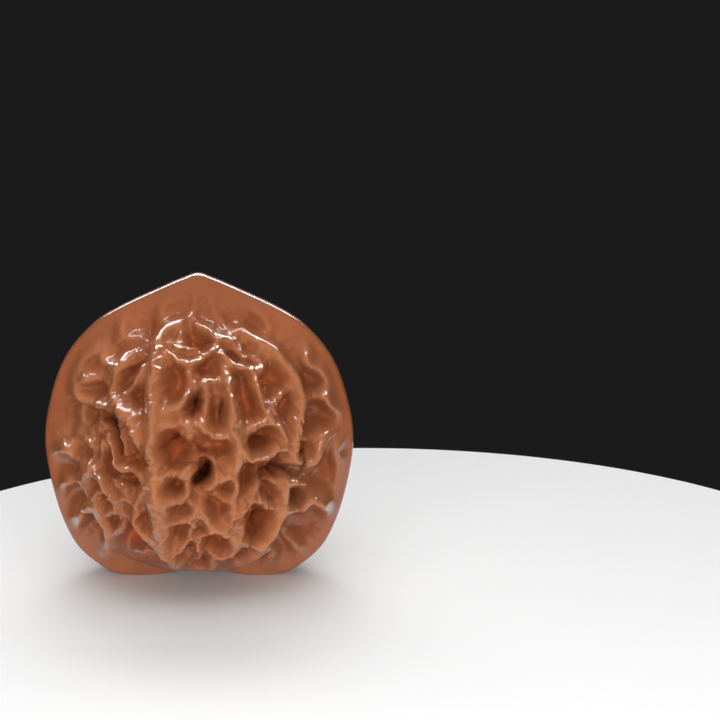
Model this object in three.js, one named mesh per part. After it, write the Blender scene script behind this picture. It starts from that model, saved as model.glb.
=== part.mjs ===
// A ridged, hand-polished walnut standing on its base with its point up, as one solid.
// Two bellies, in front (-Y) and behind (+Y), stand out of a broad flat seam flange in the XZ plane.
// Each belly is covered by a net of ribs and lips with bowls and pits between them, raised from a smooth
// shell by a formula.
import * as THREE from "three";
import { mergeVertices } from "three/addons/utils/BufferGeometryUtils.js";

// Driving dimensions, in millimetres. Z = 0 is the surface that the nut stands on.
const WIDTH = 44; // across the seam flange
const CENTRE_Z = 20.5; // height of the belly's middle
const RIM_TOP = 1.1; // half the flange's thickness at its rim, at the point and shoulders
const RIM_FOOT = 3.0; // the same at the two feet
const RIM_ROUND = 0.12; // radians of latitude over which the rim rounds over
const FLANGE_RISE = 5.0; // how much the flange thickens towards the middle, each side
const BELLY_RISE = 10.0; // height of the smooth belly over the flange
const BELLY_FULL = 3.6; // how full the belly is: 2 is round, more is squarer
const SIDE_STEEP = 1.0; // how steeply the belly rises at its sides: less is steeper
const TOP_STEEP = 2.0; // the same below the point
const TOP_SPREAD = 0.9; // radians each side of the point over which it changes
const DETAIL = 23; // subdivisions of the icosahedron that carries the vertices

// The seam's outline, right half, from the notch in the base up to the point: [x, z].
const OUTLINE = [
  [0, 0.9], [4, 0.1], [8.6, -0.5], [12, -0.1], [15.2, 1.7], [18.2, 4.9], [20.6, 10.9], [22, 19],
  [21.1, 25.8], [18.9, 31.7], [15.2, 36.2], [11.4, 38.8], [5.6, 41.6], [2.2, 43.1], [0, 43.8],
];

// The edge of the near belly, all round from the base, seen along Y: [x, z].
const BELLY_EDGE = [
  [0, 0.3], [5, 1.0], [8.4, 3.2], [10.4, 6], [12.2, 9.3], [12.9, 12.8], [13.6, 16.8], [14.8, 20.9],
  [15.6, 24.9], [15.2, 29.1], [12.4, 32.9], [8.8, 36.2], [5.8, 38.4], [0, 40.2], [-5.8, 38.6],
  [-8.7, 36.6], [-11.3, 33.2], [-13, 29.2], [-14, 24.7], [-15.2, 19.5], [-16.6, 15.4], [-15.9, 12.1],
  [-14.5, 8.8], [-13, 5.6], [-10, 3.0], [-5, 1.0],
];

// The relief is drawn as the eye sees the nut, in pixels of a 720 x 720 picture from 15 degrees above.
const VIEW_ELEVATION = THREE.MathUtils.degToRad(15);
const PICTURE_LEFT = 47.5; // left edge of the flange
const PICTURE_RIGHT = 353.5; // right edge of the flange
const PICTURE_FLOOR = 568.5; // foot of the seam
const MM_PER_PIXEL = WIDTH / (PICTURE_RIGHT - PICTURE_LEFT);

// Long ribs that run down the belly: [rise, [[x, y], ...]].
const RIBS = [
  [3.2, [[183, 322], [172, 326], [165, 333], [162, 343], [160, 356], [158, 374], [157, 394], [159, 414],
    [157, 436], [157, 458], [160, 480], [163, 502], [165, 524], [167, 544], [173, 558], [183, 568]]],
  [2.8, [[229, 368], [232, 380], [232, 396], [236, 410], [238, 424], [243, 438], [244, 452], [240, 463],
    [232, 471]]],
  [2.8, [[240, 331], [248, 332], [256, 338], [266, 343], [277, 349], [287, 361], [297, 373], [304, 386],
    [308, 400], [306, 414], [303, 427], [301, 441], [298, 456], [292, 470], [289, 483], [289, 497],
    [287, 508], [282, 521], [277, 533], [268, 543], [266, 551], [259, 559], [244, 566]]],
  [2.4, [[114, 436], [104, 446], [97, 456], [91, 467], [83, 477], [86, 487], [92, 499], [99, 508],
    [100, 518], [106, 531], [109, 545], [115, 553]]],
  [2.4, [[141, 355], [130, 358], [122, 367], [118, 379], [114, 392], [118, 401], [124, 409], [134, 417],
    [139, 430], [148, 445]]],
];
// Lips of the bowls, which hang like shelves: [rise, [[x, y], ...]].
const LIPS = [
  // shoulder of the belly
  [1.6, [[120, 342], [128, 339], [140, 338], [150, 341]]],
  [1.9, [[126, 355], [136, 352], [143, 351], [150, 347], [160, 343]]],
  [1.4, [[142, 352], [147, 357], [160, 357]]],
  [2.0, [[172, 327], [180, 330], [186, 338], [188, 347]]],
  [2.2, [[162, 343], [175, 343], [183, 348], [188, 347], [193, 350], [200, 351]]],
  [2.4, [[201, 326], [211, 331], [222, 336], [233, 339], [240, 346], [246, 356]]],
  [2.4, [[162, 352], [172, 353], [182, 360], [191, 364], [203, 361], [213, 353], [221, 346],
    [226, 338]]],
  [2.2, [[222, 346], [227, 355], [234, 363], [246, 367], [258, 369], [265, 367], [262, 359], [255, 355],
    [246, 357]]],
  [1.6, [[260, 334], [269, 337], [278, 347]]],
  [2.0, [[158, 360], [147, 368], [143, 377], [137, 386], [129, 393], [119, 399]]],
  // bowls between the left rib and the middle rib
  [2.0, [[188, 364], [193, 372], [195, 383]]],
  [2.4, [[195, 383], [194, 392], [189, 401], [180, 407], [168, 409], [159, 412]]],
  [2.6, [[158, 432], [165, 426], [174, 423], [180, 425], [186, 421], [193, 424], [199, 421], [206, 425],
    [213, 431], [220, 435], [227, 435], [234, 431], [239, 429]]],
  [1.6, [[184, 424], [188, 432], [196, 433], [200, 426]]],
  [2.6, [[158, 464], [163, 471], [170, 473], [178, 470], [188, 467], [197, 466], [203, 461],
    [209, 456]]],
  [1.8, [[196, 440], [201, 447], [207, 452], [213, 456]]],
  [2.6, [[213, 456], [218, 463], [220, 471], [219, 479], [212, 485], [206, 486], [202, 481]]],
  [2.4, [[217, 482], [225, 478], [233, 475], [241, 473], [242, 485], [239, 496], [231, 499],
    [221, 491]]],
  [2.4, [[161, 482], [172, 474], [182, 472], [191, 475], [195, 486], [192, 495], [182, 501],
    [164, 503]]],
  [2.2, [[192, 496], [199, 504], [201, 511], [195, 518], [182, 521], [165, 522]]],
  [2.4, [[208, 492], [206, 505], [209, 514], [214, 522], [219, 527]]],
  [2.4, [[196, 518], [199, 526], [196, 535], [187, 544], [176, 550], [168, 549]]],
  [2.4, [[198, 527], [207, 531], [214, 530], [219, 526], [226, 530], [233, 531]]],
  [2.2, [[205, 531], [203, 544], [200, 556], [190, 563], [180, 566]]],
  [2.4, [[239, 496], [240, 508], [234, 518], [229, 527]]],
  [2.4, [[229, 527], [236, 532], [240, 540], [238, 548], [231, 556], [223, 557], [214, 550]]],
  [1.8, [[214, 550], [217, 560], [212, 569], [200, 571], [187, 568]]],
  // columns between the middle rib and the right rib
  [2.4, [[203, 394], [206, 385], [213, 381], [221, 382], [231, 386]]],
  [2.0, [[211, 382], [212, 396], [211, 410], [206, 421]]],
  [2.4, [[256, 369], [260, 384], [264, 397], [270, 409], [277, 420]]],
  [2.0, [[300, 386], [288, 391], [279, 400], [280, 412], [277, 420]]],
  [2.6, [[243, 434], [252, 432], [260, 430], [264, 425], [271, 422], [278, 421], [284, 428], [288, 437],
    [292, 446]]],
  [2.8, [[248, 436], [251, 448], [255, 459], [264, 457], [273, 455], [280, 450], [291, 447],
    [301, 443]]],
  [1.8, [[262, 468], [261, 482], [256, 491], [246, 497]]],
  [1.8, [[270, 466], [276, 479], [284, 485], [290, 487]]],
  [2.4, [[232, 519], [241, 513], [249, 509], [252, 501], [260, 498], [268, 500], [273, 506],
    [287, 507]]],
  [2.0, [[238, 515], [244, 520], [246, 528], [243, 534], [248, 542], [257, 546], [267, 545]]],
  [1.6, [[282, 526], [287, 535], [292, 546]]],
];
// Narrow wrinkles beside the left rib: [rise, [[x, y], ...]].
const WRINKLES = [
  // left side of the belly
  [2.0, [[104, 418], [112, 424], [120, 431], [125, 442], [131, 452]]],
  [2.2, [[114, 438], [119, 448], [120, 460], [126, 466], [137, 467]]],
  [1.8, [[93, 468], [100, 474], [107, 479], [111, 489], [117, 499], [127, 507]]],
  [2.4, [[137, 467], [144, 474], [151, 484], [155, 498], [157, 512]]],
  [1.8, [[121, 482], [128, 487], [139, 488], [147, 484]]],
  [1.6, [[116, 499], [127, 499], [136, 500], [145, 493]]],
  [1.8, [[143, 502], [141, 511], [136, 516], [143, 527], [153, 536], [164, 541]]],
  [1.6, [[127, 508], [115, 510], [101, 515]]],
  [1.6, [[129, 512], [127, 524], [118, 532], [109, 538]]],
  [1.6, [[91, 498], [99, 495], [110, 488]]],
  [1.2, [[163, 544], [150, 549], [137, 552]]],
];
// Low folds on the flange: [rise, [[x, y], ...]].
const FOLDS = [
  // left half of the flange
  [0.7, [[56, 437], [58, 431], [66, 428]]],
  [1.0, [[51, 453], [60, 451], [72, 449], [77, 456], [86, 460]]],
  [1.0, [[81, 433], [90, 438], [99, 446]]],
  [0.8, [[84, 432], [92, 429], [105, 428]]],
  [1.1, [[83, 478], [72, 483], [65, 487], [59, 498]]],
  [1.2, [[94, 502], [86, 512], [79, 521], [70, 531]]],
  [0.9, [[108, 545], [106, 556], [106, 567]]],
  [0.9, [[77, 382], [90, 381], [104, 377]]],
  [0.9, [[77, 384], [78, 394], [88, 399], [99, 403], [106, 408], [114, 410]]],
  [1.2, [[106, 359], [110, 365], [119, 366]]],
  [0.8, [[99, 374], [106, 376], [112, 384]]],
  [0.6, [[112, 352], [100, 350], [90, 354], [82, 365], [75, 377]]],
  [0.6, [[126, 318], [125, 328], [127, 338]]],
  [0.7, [[88, 402], [86, 413], [88, 424]]],
  // right half of the flange
  [0.9, [[309, 345], [310, 355], [312, 366], [322, 370], [329, 379], [332, 387]]],
  [1.0, [[309, 399], [321, 399], [329, 400], [333, 409], [342, 413], [343, 424]]],
  [1.0, [[303, 439], [316, 437], [326, 435], [337, 433]]],
  [1.8, [[299, 458], [305, 468], [311, 463], [317, 461], [321, 454], [323, 446], [327, 439]]],
  [1.6, [[289, 480], [296, 482], [303, 481], [302, 471]]],
  [0.9, [[347, 436], [341, 446], [337, 455], [342, 466], [343, 480], [340, 493]]],
  [1.5, [[288, 509], [297, 507], [304, 509], [309, 502], [314, 500], [320, 503], [327, 509],
    [339, 518]]],
  [0.9, [[270, 543], [273, 555], [270, 569]]],
  [0.9, [[294, 541], [299, 551], [303, 560]]],
  [0.6, [[249, 298], [257, 309], [266, 318], [271, 330]]],
  // streaks below the point
  [0.3, [[176, 293], [166, 305], [161, 322]]],
  [0.15, [[206, 286], [213, 299], [219, 314]]],
  [0.15, [[196, 290], [196, 305], [195, 318]]],
  [0.3, [[222, 321], [230, 328], [232, 337]]],
];
// Shallow hollows: [depth, half width, middle line].
const BOWLS = [
  // shoulder
  [1.2, 1.0, [[176, 335], [181, 339]]],
  [1.2, 0.9, [[147, 353], [152, 352]]],
  [1.4, 0.9, [[201, 342], [206, 352]]],
  [1.2, 1.2, [[231, 346], [236, 355]]],
  [0.9, 0.9, [[254, 360], [258, 362]]],
  // left of the left rib
  [2.0, 1.3, [[141, 365], [136, 375], [128, 387]]],
  [1.0, 1.4, [[147, 392], [144, 408], [147, 425]]],
  [1.2, 1.2, [[95, 477], [99, 486]]],
  [1.4, 0.9, [[103, 503], [110, 501]]],
  [1.8, 0.9, [[134, 503], [135, 508]]],
  [1.6, 0.6, [[138, 496], [142, 495]]],
  [1.4, 1.0, [[110, 518], [120, 515]]],
  [1.0, 1.4, [[122, 530], [134, 537]]],
  [1.2, 0.8, [[110, 553], [112, 564]]],
  // between the left rib and the middle rib
  [1.6, 1.7, [[177, 374], [175, 396]]],
  [1.4, 1.1, [[209, 366], [206, 373]]],
  [1.6, 0.9, [[214, 390], [215, 405], [216, 420]]],
  [1.0, 1.6, [[172, 458], [188, 457]]],
  [2.0, 0.7, [[202, 489], [210, 489]]],
  [0.9, 1.2, [[177, 511], [186, 510]]],
  [1.6, 1.0, [[174, 532], [188, 526]]],
  [0.9, 1.3, [[217, 500], [219, 512]]],
  [1.8, 1.2, [[215, 536], [222, 537]]],
  [1.2, 0.8, [[174, 556], [182, 555]]],
  [1.0, 0.7, [[208, 555], [207, 564]]],
  // between the middle rib and the right rib
  [2.0, 0.7, [[247, 378], [249, 392], [248, 408]]],
  [1.8, 1.0, [[256, 402], [256, 417]]],
  [1.4, 0.7, [[268, 390], [274, 405]]],
  [2.0, 1.1, [[276, 374], [281, 386]]],
  [0.9, 1.1, [[287, 400], [288, 415]]],
  [1.8, 0.6, [[248, 424], [251, 427]]],
  [1.0, 0.6, [[287, 424], [295, 440]]],
  [1.0, 1.1, [[267, 474], [266, 488]]],
  [0.9, 0.7, [[250, 490], [248, 495]]],
  [1.2, 0.7, [[240, 519], [240, 525]]],
  [2.0, 0.9, [[243, 540], [243, 552]]],
  // flange
  [1.4, 1.0, [[96, 506], [89, 518]]],
  [2.0, 1.6, [[303, 520], [320, 524]]],
  [1.6, 0.7, [[297, 466], [299, 471]]],
  [1.4, 0.7, [[292, 487], [300, 486]]],
  [1.6, 0.9, [[282, 544], [288, 549]]],
  [1.6, 0.7, [[272, 546], [274, 556]]],
  [1.8, 0.9, [[325, 450], [324, 462]]],
  [2.0, 1.2, [[314, 402], [318, 410]]],
  [1.4, 1.2, [[310, 372], [313, 386]]],
  [1.4, 0.8, [[309, 418], [308, 432]]],
  [0.8, 0.9, [[163, 292], [159, 312], [156, 332], [152, 343]]],
  [0.6, 0.9, [[248, 312], [254, 330]]],
  [1.2, 1.2, [[92, 388], [100, 394]]],
  [1.0, 1.4, [[70, 466], [74, 472]]],
  [1.0, 1.2, [[318, 446], [312, 450]]],
  [0.8, 1.6, [[330, 470], [330, 485]]],
  [0.8, 1.6, [[312, 480], [318, 490]]],
];
// Deep pits under the lips: [depth, half width, middle line].
const PITS = [
  [2.2, 0.9, [[192, 336], [195, 346]]],
  [2.4, 0.7, [[242, 338], [247, 344], [251, 352]]],
  [3.0, 0.9, [[118, 412], [127, 424], [132, 438], [133, 450]]],
  [2.4, 1.4, [[113, 447], [109, 457]]],
  [2.6, 1.1, [[141, 474], [144, 482]]],
  [3.2, 0.9, [[203, 390], [200, 402], [199, 412]]],
  [2.2, 0.7, [[222, 388], [223, 405], [222, 425]]],
  [2.8, 1.5, [[171, 441], [181, 438], [188, 442]]],
  [3.4, 1.0, [[203, 441], [209, 446]]],
  [1.8, 1.2, [[216, 442], [231, 441]]],
  [4.0, 1.1, [[202, 473], [207, 470], [211, 463]]],
  [2.6, 1.3, [[173, 481], [184, 477]]],
  [3.0, 0.8, [[223, 484], [228, 483]]],
  [3.0, 0.8, [[202, 517], [207, 517]]],
  [2.2, 0.7, [[200, 535], [194, 545], [186, 553]]],
  [3.4, 1.1, [[254, 438], [264, 436]]],
  [3.0, 0.7, [[250, 465], [264, 462], [280, 457], [294, 453]]],
  [2.2, 0.7, [[246, 460], [245, 472]]],
  [3.0, 1.3, [[262, 508], [255, 517], [253, 525]]],
];

// How the families of lines are shaped. gain: scales the rise; above, below: how far a flank runs out
// uphill and downhill of the line; round: radius of the crest.
const CRESTS = [
  { lines: RIBS, gain: 1.2, above: 4.6, below: 4.4, round: 1.0 },
  { lines: LIPS, gain: 1.2, above: 4.4, below: 2.8, round: 0.8 },
  { lines: WRINKLES, gain: 1.3, above: 3.2, below: 2.8, round: 0.8 },
  { lines: FOLDS, gain: 2.2, above: 6.0, below: 5.0, round: 0.8 },
];
// Hollows, with gain scaling the depth; sunk: how far below the smooth shell the drawn place lies.
const HOLLOWS = [
  { lines: BOWLS, gain: 0.6, sunk: 1.0 },
  { lines: PITS, gain: 0.7, sunk: 2.0 },
];
const HOLLOW_REACH = 1.2; // a hollow runs out this many times its half width from its middle line
const FLOOR_DEPTH = 4.0; // the belly between its crests lies this much below the smooth shell
const FLANK_FOOT = 5.0; // a crest's flanks run down to this depth below the smooth shell
const FLANK_POWER = 1.6; // how hollow the flanks are: 1 is straight
const CREST_BLEND = 0.8; // how softly two crests run into each other
const LEAN = 1.5; // the relief leans from the shell's normal towards the eye
const DROOP = 0.15; // and crests hang down by this share of their rise
const UPHILL = [0.5, 0.87]; // up a belly: towards the seam, and upwards
const LINE_STEP = 0.4; // spacing of the points along a line
const TAPER_LENGTH = 2.5; // a line sinks over this length at its ends
const TAPER_REST = 0.6; // to this share of its rise
const RIM_CLEAR = [0.03, 0.16]; // shares of the way from rim to middle between which the relief sets in
const EVEN_PASSES = 4; // how often the relief is averaged between neighbouring vertices
const FAR_SHIFT = 2.0; // how far the lines on the far belly wander from those on the near one

const { smoothstep, clamp, lerp } = THREE.MathUtils;

// Radius of a closed ring of points about the belly's middle, as a function of the angle from +X.
function ringRadius(points) {
  const corners = points.map(([x, z]) => new THREE.Vector3(x, z - CENTRE_Z, 0));
  const curve = new THREE.CatmullRomCurve3(corners, true, "catmullrom", 0.5);
  const ring = curve.getPoints(points.length * 24).map((p) => [Math.atan2(p.y, p.x), Math.hypot(p.x, p.y)]);
  ring.sort((a, b) => a[0] - b[0]);
  return (angle) => {
    let low = 0;
    let high = ring.length - 1;
    if (angle <= ring[low][0] || angle >= ring[high][0]) return ring[low][1];
    while (high - low > 1) {
      const middle = (low + high) >> 1;
      if (ring[middle][0] > angle) high = middle;
      else low = middle;
    }
    const [a0, r0] = ring[low];
    const [a1, r1] = ring[high];
    return a1 > a0 ? lerp(r0, r1, (angle - a0) / (a1 - a0)) : r0;
  };
}

const leftOutline = OUTLINE.slice(1, -1).reverse().map(([x, z]) => [-x, z]);
const outlineRadius = ringRadius([...OUTLINE, ...leftOutline]);
const bellyRadius = ringRadius(BELLY_EDGE);

// Half thickness of the smooth shell at a share of the outline's radius, at an angle from +X.
function shellDepth(share, angle) {
  const rim = lerp(RIM_TOP, RIM_FOOT, smoothstep(-Math.sin(angle), -0.2, 1));
  const flange = FLANGE_RISE * (1 - share ** 2) ** 1.5;
  const bellyShare = Math.min((share * outlineRadius(angle)) / bellyRadius(angle), 1);
  const offTop = Math.atan2(Math.cos(angle), Math.sin(angle)) / TOP_SPREAD;
  const steep = lerp(SIDE_STEEP, TOP_STEEP, Math.exp(-offTop * offTop));
  const belly = BELLY_RISE * (1 - bellyShare ** BELLY_FULL) ** steep;
  return (rim + belly) * Math.tanh(Math.acos(clamp(share, 0, 1)) / RIM_ROUND) + flange;
}

// Shares of the outline's radius for rows of vertices that are evenly spaced from the rim to the middle.
const rowShares = (() => {
  const count = 400;
  const rows = [];
  let length = 0;
  for (let i = 0; i <= count; i++) {
    const share = Math.cos(((Math.PI / 2) * i) / count);
    const place = new THREE.Vector2(share * outlineRadius(0), shellDepth(share, 0));
    if (i > 0) length += place.distanceTo(rows[i - 1].place);
    rows.push({ share, place, length });
  }
  return rows.map((row) => [row.length / length, row.share]);
})();

function shareOfRow(row) {
  const next = rowShares.findIndex(([at]) => at >= row);
  if (next <= 0) return rowShares[next < 0 ? rowShares.length - 1 : 0][1];
  const [at0, share0] = rowShares[next - 1];
  const [at1, share1] = rowShares[next];
  return lerp(share0, share1, (row - at0) / (at1 - at0));
}

// Half thickness of the shell at a place in the seam plane, or -1 outside the outline.
function shellDepthAt(x, z) {
  const angle = Math.atan2(z - CENTRE_Z, x);
  const share = Math.hypot(x, z - CENTRE_Z) / outlineRadius(angle);
  return share < 1 ? shellDepth(share, angle) : -1;
}

// Follows the eye's line through a place in the picture until it meets the near side of the shell.
function dropOnShell(across, up) {
  const height = (y) => (up - y * Math.sin(VIEW_ELEVATION)) / Math.cos(VIEW_ELEVATION);
  const inside = (y) => -y < shellDepthAt(across, height(y));
  const step = 0.25;
  let y = -22;
  while (y < 0 && !inside(y)) y += step;
  let outer = y - step;
  let inner = Math.min(y, 0);
  for (let i = 0; i < 12; i++) {
    const middle = (outer + inner) / 2;
    if (inside(middle)) inner = middle;
    else outer = middle;
  }
  return new THREE.Vector3(across, inner, height(inner));
}

// The way that the relief moves a place: along the shell's normal, leaning to the eye, and hanging down.
function push(normal, side) {
  const way = normal.clone();
  way.y += LEAN * Math.cos(VIEW_ELEVATION) * side;
  way.z += LEAN * Math.sin(VIEW_ELEVATION);
  way.normalize();
  way.y += DROOP * UPHILL[0] * side;
  way.z -= DROOP * UPHILL[1];
  return way;
}

// Normal of the near side of the shell.
function nearNormal(place) {
  const step = 0.3;
  const slopeX = shellDepthAt(place.x + step, place.z) - shellDepthAt(place.x - step, place.z);
  const slopeZ = shellDepthAt(place.x, place.z + step) - shellDepthAt(place.x, place.z - step);
  return new THREE.Vector3(-slopeX, -2 * step, -slopeZ).normalize();
}

// The place on the shell from which a crest of this rise reaches the drawn place.
function footOfCrest(across, up, rise) {
  let foot = dropOnShell(across, up);
  for (let i = 0; i < 4; i++) {
    const lift = push(nearNormal(foot), -1).multiplyScalar(rise);
    const liftUp = lift.y * Math.sin(VIEW_ELEVATION) + lift.z * Math.cos(VIEW_ELEVATION);
    foot = dropOnShell(across - lift.x, up - liftUp);
  }
  return foot;
}

// On the far belly the lines wander, so that it isn't a copy of the near one.
function wander([across, up]) {
  const a = across / 5 + 0.7;
  const b = up / 5 + 0.4;
  return [across + FAR_SHIFT * Math.sin(b + 0.5 * a), up + FAR_SHIFT * 0.8 * Math.sin(1.3 * a - 0.6 * b)];
}

// A drawn line as points on the shell with their height, for the near belly (-1) or the far one (1).
// The drawn place lies at the crest's height, or at the depth given by sunk.
function layLine(pixels, rise, sunk, side) {
  const drawn = pixels.map(([x, y]) => [
    (x - (PICTURE_LEFT + PICTURE_RIGHT) / 2) * MM_PER_PIXEL,
    (PICTURE_FLOOR - y) * MM_PER_PIXEL,
  ]);
  const placed = side < 0 ? drawn : drawn.map(wander);
  const curve = new THREE.SplineCurve(placed.map(([u, v]) => new THREE.Vector2(u, v)));
  const length = curve.getLength();
  const count = Math.max(2, Math.ceil(length / LINE_STEP));
  return curve.getSpacedPoints(count).map((p, i) => {
    const fromEnd = (Math.min(i, count - i) / count) * length;
    const height = rise * lerp(TAPER_REST, 1, smoothstep(fromEnd, 0, TAPER_LENGTH));
    const place = footOfCrest(p.x, p.y, sunk ? -sunk : height);
    place.y *= -side;
    return { place, height };
  });
}

// All lines of one belly, ready for measuring.
function layBelly(side) {
  const crests = CRESTS.flatMap(({ lines, gain, above, below, round }) =>
    lines.map(([rise, pixels]) => {
      const points = layLine(pixels, rise * gain, 0, side);
      return { points, above, below, round };
    }),
  );
  const hollows = HOLLOWS.flatMap(({ lines, gain, sunk }) =>
    lines.map(([depth, width, pixels]) => {
      const points = layLine(pixels, depth * gain, sunk, side);
      return { points, reach: HOLLOW_REACH * width };
    }),
  );
  return { crests, hollows };
}

function nearestPoint(points, place) {
  let nearest = points[0];
  let least = Infinity;
  for (const point of points) {
    const d = place.distanceToSquared(point.place);
    if (d < least) {
      least = d;
      nearest = point;
    }
  }
  return { ...nearest, distance: Math.sqrt(least) };
}

// What is left of a height at a distance from its line.
function flank(distance, reach, round) {
  const away = Math.hypot(distance, round) - round;
  return Math.max(0, 1 - away / reach) ** FLANK_POWER;
}

function softMax(a, b) {
  const near = Math.max(CREST_BLEND - Math.abs(a - b), 0) / CREST_BLEND;
  return Math.max(a, b) + (near ** 3 * CREST_BLEND) / 6;
}

// Height of the relief over a place of the smooth shell.
function reliefAt(place, floor, { crests, hollows }, side) {
  let relief = floor;
  for (const { points, above, below, round } of crests) {
    const near = nearestPoint(points, place);
    const toward = place.clone().sub(near.place).normalize();
    const climb = -side * UPHILL[0] * toward.y + UPHILL[1] * toward.z;
    const reach = lerp(below, above, smoothstep(climb, -0.8, 0.8));
    relief = softMax(relief, (near.height + FLANK_FOOT) * flank(near.distance, reach, round) - FLANK_FOOT);
  }
  for (const { points, reach } of hollows) {
    const near = nearestPoint(points, place);
    relief -= near.height * flank(near.distance, reach, reach);
  }
  return relief;
}

// Heights averaged with their neighbours', so that the crests run smoothly across the triangles.
function evenOut(heights, index) {
  let even = heights;
  for (let pass = 0; pass < EVEN_PASSES; pass++) {
    const sum = new Float64Array(even.length);
    const count = new Float64Array(even.length);
    for (let i = 0; i < index.count; i++) {
      const here = index.getX(i);
      const there = index.getX(i - (i % 3) + ((i + 1) % 3));
      sum[here] += even[there];
      count[here] += 1;
    }
    even = even.map((height, i) => lerp(height, sum[i] / count[i], 0.5));
  }
  return even;
}

// The nut: an icosahedron's vertices laid on the shell, then moved by the relief.
function walnutGeometry() {
  const ball = new THREE.IcosahedronGeometry(1, DETAIL);
  ball.deleteAttribute("normal");
  ball.deleteAttribute("uv");
  const geometry = mergeVertices(ball, 1e-5);
  const position = geometry.getAttribute("position");
  const vertices = [];
  for (let i = 0; i < position.count; i++) {
    const direction = new THREE.Vector3().fromBufferAttribute(position, i).normalize();
    const side = Math.sign(direction.y);
    const angle = Math.atan2(direction.z, direction.x);
    const row = Math.asin(clamp(Math.abs(direction.y), 0, 1)) / (Math.PI / 2);
    const share = shareOfRow(row);
    const radius = share * outlineRadius(angle);
    const floor = -FLOOR_DEPTH * smoothstep(1 - radius / bellyRadius(angle), 0, 0.25);
    vertices.push({ side, row, floor });
    const x = radius * Math.cos(angle);
    const z = CENTRE_Z + radius * Math.sin(angle);
    position.setXYZ(i, x, side * shellDepth(share, angle), z);
  }
  geometry.computeVertexNormals();
  const normal = geometry.getAttribute("normal");
  const near = layBelly(-1);
  const far = layBelly(1);
  const heights = vertices.map(({ side, row, floor }, i) => {
    const place = new THREE.Vector3().fromBufferAttribute(position, i);
    return reliefAt(place, floor, side < 0 ? near : far, side) * smoothstep(row, ...RIM_CLEAR);
  });
  const relief = evenOut(heights, geometry.index);
  vertices.forEach(({ side }, i) => {
    const place = new THREE.Vector3().fromBufferAttribute(position, i);
    place.addScaledVector(push(new THREE.Vector3().fromBufferAttribute(normal, i), side), relief[i]);
    position.setXYZ(i, place.x, place.y, Math.max(place.z, 0));
  });
  geometry.deleteAttribute("normal");
  return geometry;
}

const polishedShell = new THREE.MeshStandardMaterial({ color: 0xa3623f, roughness: 0.3, metalness: 0 });
const walnut = new THREE.Mesh(walnutGeometry(), polishedShell);
walnut.name = "walnut";

const part = new THREE.Group();
part.add(walnut);

export default part;
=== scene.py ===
# %% [markdown]
# # A ridged walnut
# A walnut's shell is one hard, woody piece. Two swollen bellies meet in a flat seam flange that ends in a
# blunt point, and each belly is thrown up into a net of crests with bowls and holes between them. This
# notebook loads the part's solid as a frame, lays a finer skin of the same form over it, raises the net
# of crests with Geometry Nodes, and gives it the waxy polish that years in the hand leave on such a nut.

# %% Load the frame
import math

import bpy
import numpy as np
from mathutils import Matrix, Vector


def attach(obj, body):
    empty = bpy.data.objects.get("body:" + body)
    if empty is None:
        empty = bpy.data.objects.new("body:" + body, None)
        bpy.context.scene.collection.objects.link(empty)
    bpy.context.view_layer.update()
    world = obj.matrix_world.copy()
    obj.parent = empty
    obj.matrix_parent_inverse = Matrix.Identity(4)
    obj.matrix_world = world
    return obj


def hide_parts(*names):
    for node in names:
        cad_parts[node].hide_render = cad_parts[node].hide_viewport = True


MM = 0.001  # Blender works in metres, the nut is measured in millimetres

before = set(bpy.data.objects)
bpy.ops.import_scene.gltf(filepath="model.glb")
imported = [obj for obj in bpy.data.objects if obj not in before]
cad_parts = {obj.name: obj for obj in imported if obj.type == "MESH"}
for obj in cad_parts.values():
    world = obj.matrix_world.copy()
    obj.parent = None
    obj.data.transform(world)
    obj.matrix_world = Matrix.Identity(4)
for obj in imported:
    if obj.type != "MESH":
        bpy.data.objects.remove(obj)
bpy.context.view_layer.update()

# %% [markdown]
# ## The eye
# The crests further on are drawn as the eye sees the nut, so the camera comes first. It looks along +Y
# from 15 degrees above the horizon through a long lens, which keeps the nut almost free of perspective.
# The numbers are the places of the nut's left and right edge and of its feet in a picture of 720 by 720
# pixels.

# %% Camera
VIEW_ELEVATION = math.radians(15)
PICTURE_SIDE = 720  # pixels
PICTURE_LEFT, PICTURE_RIGHT = 47.5, 353.5  # edges of the flange, in pixels
PICTURE_FLOOR = 568.5  # feet of the flange, in pixels
WIDTH = 44  # mm across the flange
MM_PER_PIXEL = WIDTH / (PICTURE_RIGHT - PICTURE_LEFT)
CAMERA_DISTANCE = 700  # mm
SENSOR = 36  # mm
CLIP_START = 10  # mm

sight = Vector((0, math.cos(VIEW_ELEVATION), -math.sin(VIEW_ELEVATION)))
upward = Vector((0, math.sin(VIEW_ELEVATION), math.cos(VIEW_ELEVATION)))
axis_x = (PICTURE_LEFT + PICTURE_RIGHT) / 2
middle = PICTURE_SIDE / 2
aim = Vector((middle - axis_x, 0, 0)) + upward * (PICTURE_FLOOR - middle)
aim *= MM_PER_PIXEL

camera = bpy.data.objects.new("camera", bpy.data.cameras.new("camera"))
camera.data.sensor_width = SENSOR
camera.data.lens = SENSOR * CAMERA_DISTANCE / (PICTURE_SIDE * MM_PER_PIXEL)
camera.data.clip_start = CLIP_START * MM
camera.location = (aim - sight * CAMERA_DISTANCE) * MM
camera.rotation_euler = sight.to_track_quat("-Z", "Y").to_euler()
bpy.context.scene.collection.objects.link(camera)
bpy.context.scene.camera = camera
print(f"lens {camera.data.lens:.0f} mm, one pixel is {MM_PER_PIXEL:.3f} mm")

# %% [markdown]
# ## Outline and belly edge
# Seen square to the seam, the nut is a round disc with a point above and two feet below, and within that
# outline each belly has an edge of its own. Both are closed rings of a few points that a smooth curve
# joins. Any place on the nut is then an angle about the middle and a share of the outline's radius at
# that angle.

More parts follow.
